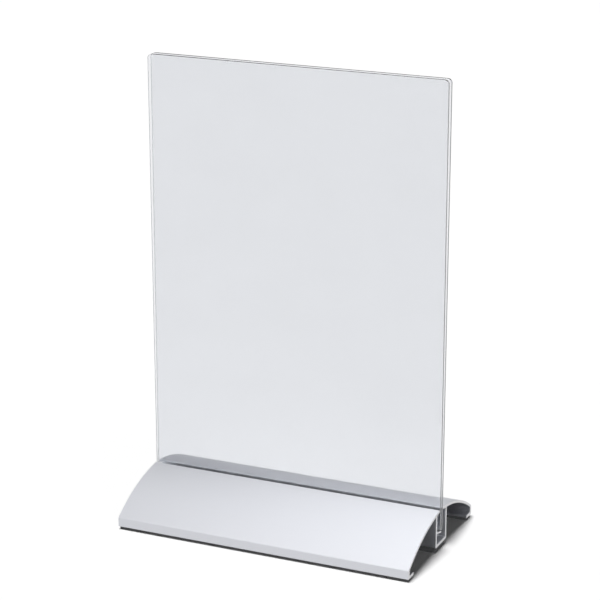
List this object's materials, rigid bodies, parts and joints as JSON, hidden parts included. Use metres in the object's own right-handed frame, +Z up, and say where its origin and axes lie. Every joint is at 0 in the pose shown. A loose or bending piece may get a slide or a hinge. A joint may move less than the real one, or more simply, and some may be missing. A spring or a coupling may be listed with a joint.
{
  "type": "menu holder",
  "caption": "Free-standing table menu holder: an arched aluminium extrusion on rubber pads, with a clear U-folded pocket that lifts out of its channel.",
  "frame": {"origin": "on the table under the middle of the holder, at the underside of the rubber pads", "axes": "+Z up along the pocket, +Y to the rear across the wings, X along the extrusion"},
  "size_m": [0.148, 0.083, 0.2222],
  "materials": {
    "anodised_aluminium": "satin silver anodised",
    "clear_plastic": "clear, polished edges",
    "black_rubber": "matt black"
  },
  "bodies": {
    "base": {"base_extrusion": "anodised_aluminium", "front_left_foot": "black_rubber", "front_right_foot": "black_rubber", "channel_left_foot": "black_rubber", "channel_right_foot": "black_rubber", "rear_left_foot": "black_rubber", "rear_right_foot": "black_rubber"},
    "pocket": {"pocket": "clear_plastic"}
  },
  "joints": [
    {"name": "pocket_lift", "type": "slide", "parent": "base", "child": "pocket", "axis": [0, 0, 1], "range_m": [0, 0.03]}
  ]
}
